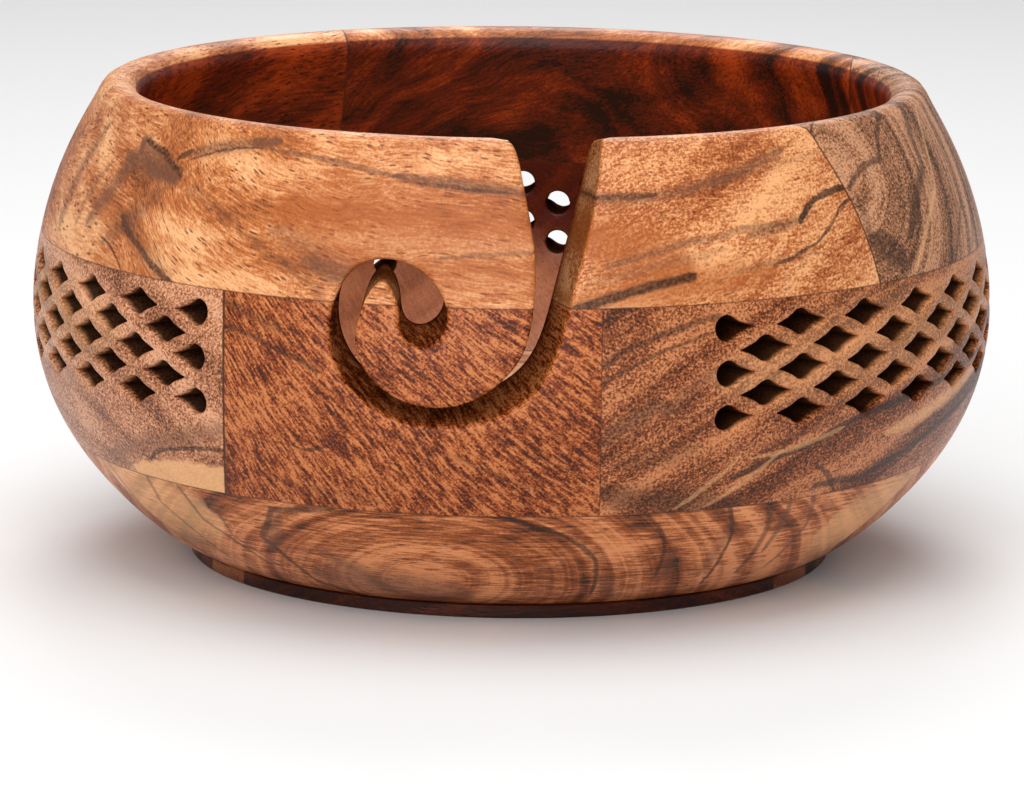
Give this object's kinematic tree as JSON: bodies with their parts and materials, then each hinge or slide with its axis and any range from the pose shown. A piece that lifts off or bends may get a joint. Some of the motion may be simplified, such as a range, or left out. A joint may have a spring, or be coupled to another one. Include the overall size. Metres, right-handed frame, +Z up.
{
  "type": "yarn bowl",
  "caption": "Round turned wooden bowl with a spiral yarn slot cut down from the rim and a pierced lattice band around the wall.",
  "frame": {"origin": "centre of the underside of the foot", "axes": "+Z up through the bowl's mouth, -Y out through the yarn slot, +X to the right when the slot is seen from outside"},
  "size_m": [0.178, 0.178, 0.0885],
  "materials": {
    "golden_wood": "satin oiled",
    "red_brown_wood": "satin oiled",
    "mid_brown_wood": "satin oiled",
    "grey_brown_wood": "satin oiled",
    "tan_wood": "satin oiled",
    "pale_wood": "satin oiled"
  },
  "bodies": {
    "root": {"rim_left_board": "golden_wood", "rim_front_board": "golden_wood", "rim_right_block": "grey_brown_wood", "rim_back_block": "red_brown_wood", "hook_tip": "golden_wood", "wall_left_block": "tan_wood", "wall_front_block": "red_brown_wood", "wall_right_block": "mid_brown_wood", "wall_back_block": "mid_brown_wood", "hook": "red_brown_wood", "floor_front_board": "tan_wood", "floor_middle_board": "tan_wood", "floor_back_board": "tan_wood", "foot_front_strip": "golden_wood", "foot_pale_strip": "pale_wood", "foot_back_board": "golden_wood"}
  },
  "joints": []
}
